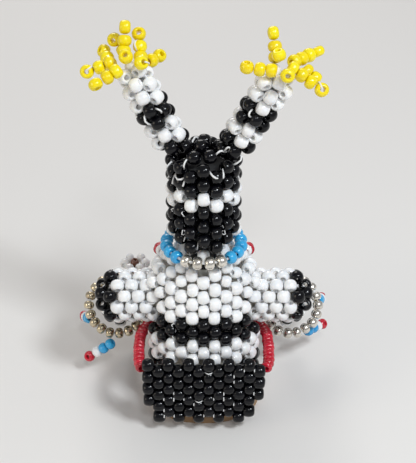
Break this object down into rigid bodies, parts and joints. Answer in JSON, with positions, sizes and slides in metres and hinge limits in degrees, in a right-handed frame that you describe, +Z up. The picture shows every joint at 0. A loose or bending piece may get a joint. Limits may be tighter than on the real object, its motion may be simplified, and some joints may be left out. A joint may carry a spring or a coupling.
{
  "type": "beaded figure",
  "caption": "Seated clown figure woven from glass seed beads in black and white stripes, with two tasselled horns, a loose necklace, armbands, fringes, belt and flaps.",
  "frame": {"origin": "on the flat underside of the seat, below the neck", "axes": "+Z up through the figure, -Y the way it faces, +X its left"},
  "size_m": [0.0387, 0.0314, 0.0571],
  "materials": {
    "bead_black": "gloss",
    "bead_white": "gloss",
    "bead_yellow": "gloss",
    "bead_turquoise": "gloss",
    "bead_red": "gloss",
    "bead_brown": "gloss",
    "bead_silver": "polished",
    "bead_gold": "polished",
    "felt_cream": "matte",
    "felt_black": "matte",
    "thread_white": "satin",
    "leather_tan": "matte",
    "wire_steel": "satin"
  },
  "bodies": {
    "figure": {"seat_pad": "leather_tan", "torso_core": "felt_cream", "head_core": "felt_black", "horn_wires": "wire_steel", "arm_cores": "felt_cream", "leg_cores": "felt_cream", "torso_white_beads": "bead_white", "torso_black_beads": "bead_black", "shoulder_beads": "bead_white", "neck_beads": "bead_white", "face_beads": "bead_white", "face_feature_beads": "bead_black", "hair_beads": "bead_black", "head_band_beads": "bead_white", "crown_beads": "bead_black", "left_horn_black_beads": "bead_black", "left_horn_white_beads": "bead_white", "right_horn_black_beads": "bead_black", "right_horn_white_beads": "bead_white", "left_tassel_beads": "bead_yellow", "right_tassel_beads": "bead_yellow", "left_arm_white_beads": "bead_white", "left_arm_black_beads": "bead_black", "left_hand_beads": "bead_white", "right_arm_white_beads": "bead_white", "right_arm_black_beads": "bead_black", "right_hand_beads": "bead_white", "leg_white_beads": "bead_white", "leg_black_beads": "bead_black", "moccasin_beads": "bead_brown", "rattle_stick_beads": "bead_brown", "rattle_head_beads": "bead_white", "chest_strap_beads": "bead_red"},
    "back_flap": {"back_flap_beads": "bead_black"},
    "front_flap": {"front_flap_beads": "bead_black"},
    "belt": {"belt_beads": "bead_red"},
    "necklace": {"necklace_thread": "thread_white", "necklace_silver_beads": "bead_silver", "necklace_turquoise_beads": "bead_turquoise", "necklace_red_beads": "bead_red", "necklace_white_beads": "bead_white"},
    "left_armband": {"left_armband_thread": "thread_white", "left_armband_beads": "bead_gold"},
    "right_armband": {"right_armband_thread": "thread_white", "right_armband_beads": "bead_silver"},
    "left_side_fringe": {"left_side_fringe_turquoise": "bead_turquoise", "left_side_fringe_white": "bead_white", "left_side_fringe_red": "bead_red"},
    "left_front_fringe": {"left_front_fringe_turquoise": "bead_turquoise", "left_front_fringe_white": "bead_white", "left_front_fringe_red": "bead_red"},
    "right_side_fringe": {"right_side_fringe_turquoise": "bead_turquoise", "right_side_fringe_white": "bead_white", "right_side_fringe_red": "bead_red"},
    "right_front_fringe": {"right_front_fringe_turquoise": "bead_turquoise", "right_front_fringe_white": "bead_white", "right_front_fringe_red": "bead_red"}
  },
  "joints": [
    {"name": "necklace_turn", "type": "hinge", "parent": "figure", "child": "necklace", "pos_m": [0, -0.0015, 0.0252], "axis": [0, 0, 1], "continuous": true},
    {"name": "back_flap_swing", "type": "hinge", "parent": "figure", "child": "back_flap", "pos_m": [0, 0.00915, 0.0117], "axis": [1, 0, 0], "range_deg": [0, 60]},
    {"name": "front_flap_swing", "type": "hinge", "parent": "figure", "child": "front_flap", "pos_m": [0, -0.0096, 0.00895], "axis": [1, 0, 0], "range_deg": [-50, 0]},
    {"name": "belt_sway", "type": "hinge", "parent": "figure", "child": "belt", "pos_m": [0, 0.00796, 0.01005], "axis": [1, 0, 0], "range_deg": [-2, 2]},
    {"name": "left_armband_turn", "type": "hinge", "parent": "figure", "child": "left_armband", "pos_m": [0.01318, -0.00748, 0.01013], "axis": [0, -0.722, -0.6919], "range_deg": [-12, 12]},
    {"name": "left_side_fringe_swing", "type": "hinge", "parent": "left_armband", "child": "left_side_fringe", "pos_m": [0.01393, -0.00455, 0.00707], "axis": [-0.0757, -0.9971, 0], "range_deg": [-12, 12], "stiffness_Nm_per_rad": 0.00005},
    {"name": "left_front_fringe_swing", "type": "hinge", "parent": "left_armband", "child": "left_front_fringe", "pos_m": [0.01717, -0.00637, 0.00897], "axis": [-0.9363, -0.3511, 0], "range_deg": [-12, 12], "stiffness_Nm_per_rad": 0.00005},
    {"name": "right_armband_turn", "type": "hinge", "parent": "figure", "child": "right_armband", "pos_m": [-0.013, -0.00748, 0.01013], "axis": [0.0201, -0.7218, -0.6918], "range_deg": [-12, 12]},
    {"name": "right_side_fringe_swing", "type": "hinge", "parent": "right_armband", "child": "right_side_fringe", "pos_m": [-0.01577, -0.00524, 0.00771], "axis": [-0.7899, 0.6132, 0], "range_deg": [-12, 12], "stiffness_Nm_per_rad": 0.00005},
    {"name": "right_front_fringe_swing", "type": "hinge", "parent": "right_armband", "child": "right_front_fringe", "pos_m": [-0.01721, -0.00816, 0.01072], "axis": [-0.9734, 0.229, 0], "range_deg": [-12, 12], "stiffness_Nm_per_rad": 0.00005}
  ]
}
